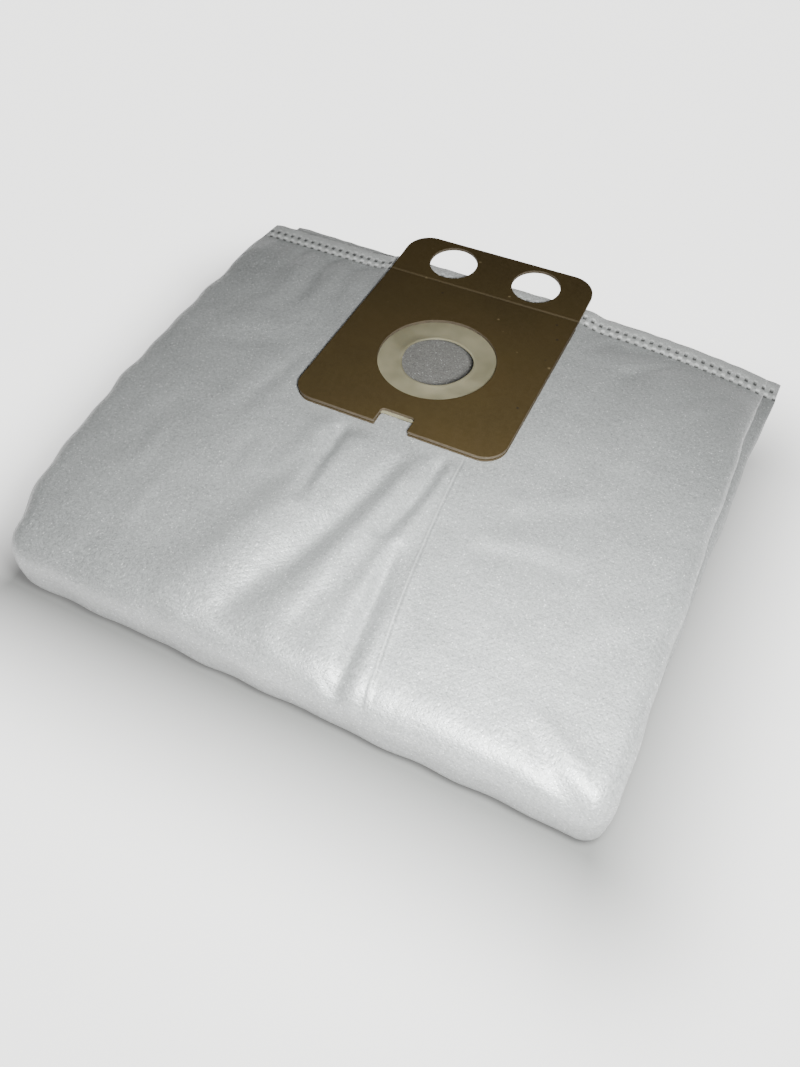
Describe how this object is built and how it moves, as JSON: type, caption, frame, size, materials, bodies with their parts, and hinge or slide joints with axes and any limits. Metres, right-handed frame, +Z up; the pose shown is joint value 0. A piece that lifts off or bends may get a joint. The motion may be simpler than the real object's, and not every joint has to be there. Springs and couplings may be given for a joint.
{
  "type": "vacuum dust bag",
  "caption": "Fleece vacuum dust bag folded in half, with a brown card collar, a finger-hole flap and a rubber sealing membrane round its inlet.",
  "frame": {"origin": "middle of the bounding box's bottom face, on the floor that the bag lies on", "axes": "+X along the welded seams and the longest extent, +Y from the front fold to the seams, +Z up out of the inlet side"},
  "size_m": [0.2886, 0.2646, 0.0347],
  "materials": {
    "fleece": "soft, dry nonwoven fleece with a fine pressed diamond pattern",
    "collar_card": "matt brown pulp board",
    "membrane": "satin cream rubber sheet"
  },
  "bodies": {
    "root": {"fleece_bag": "fleece", "collar_rear_card": "collar_card", "sealing_membrane": "membrane", "collar_front_card": "collar_card"}
  },
  "joints": []
}
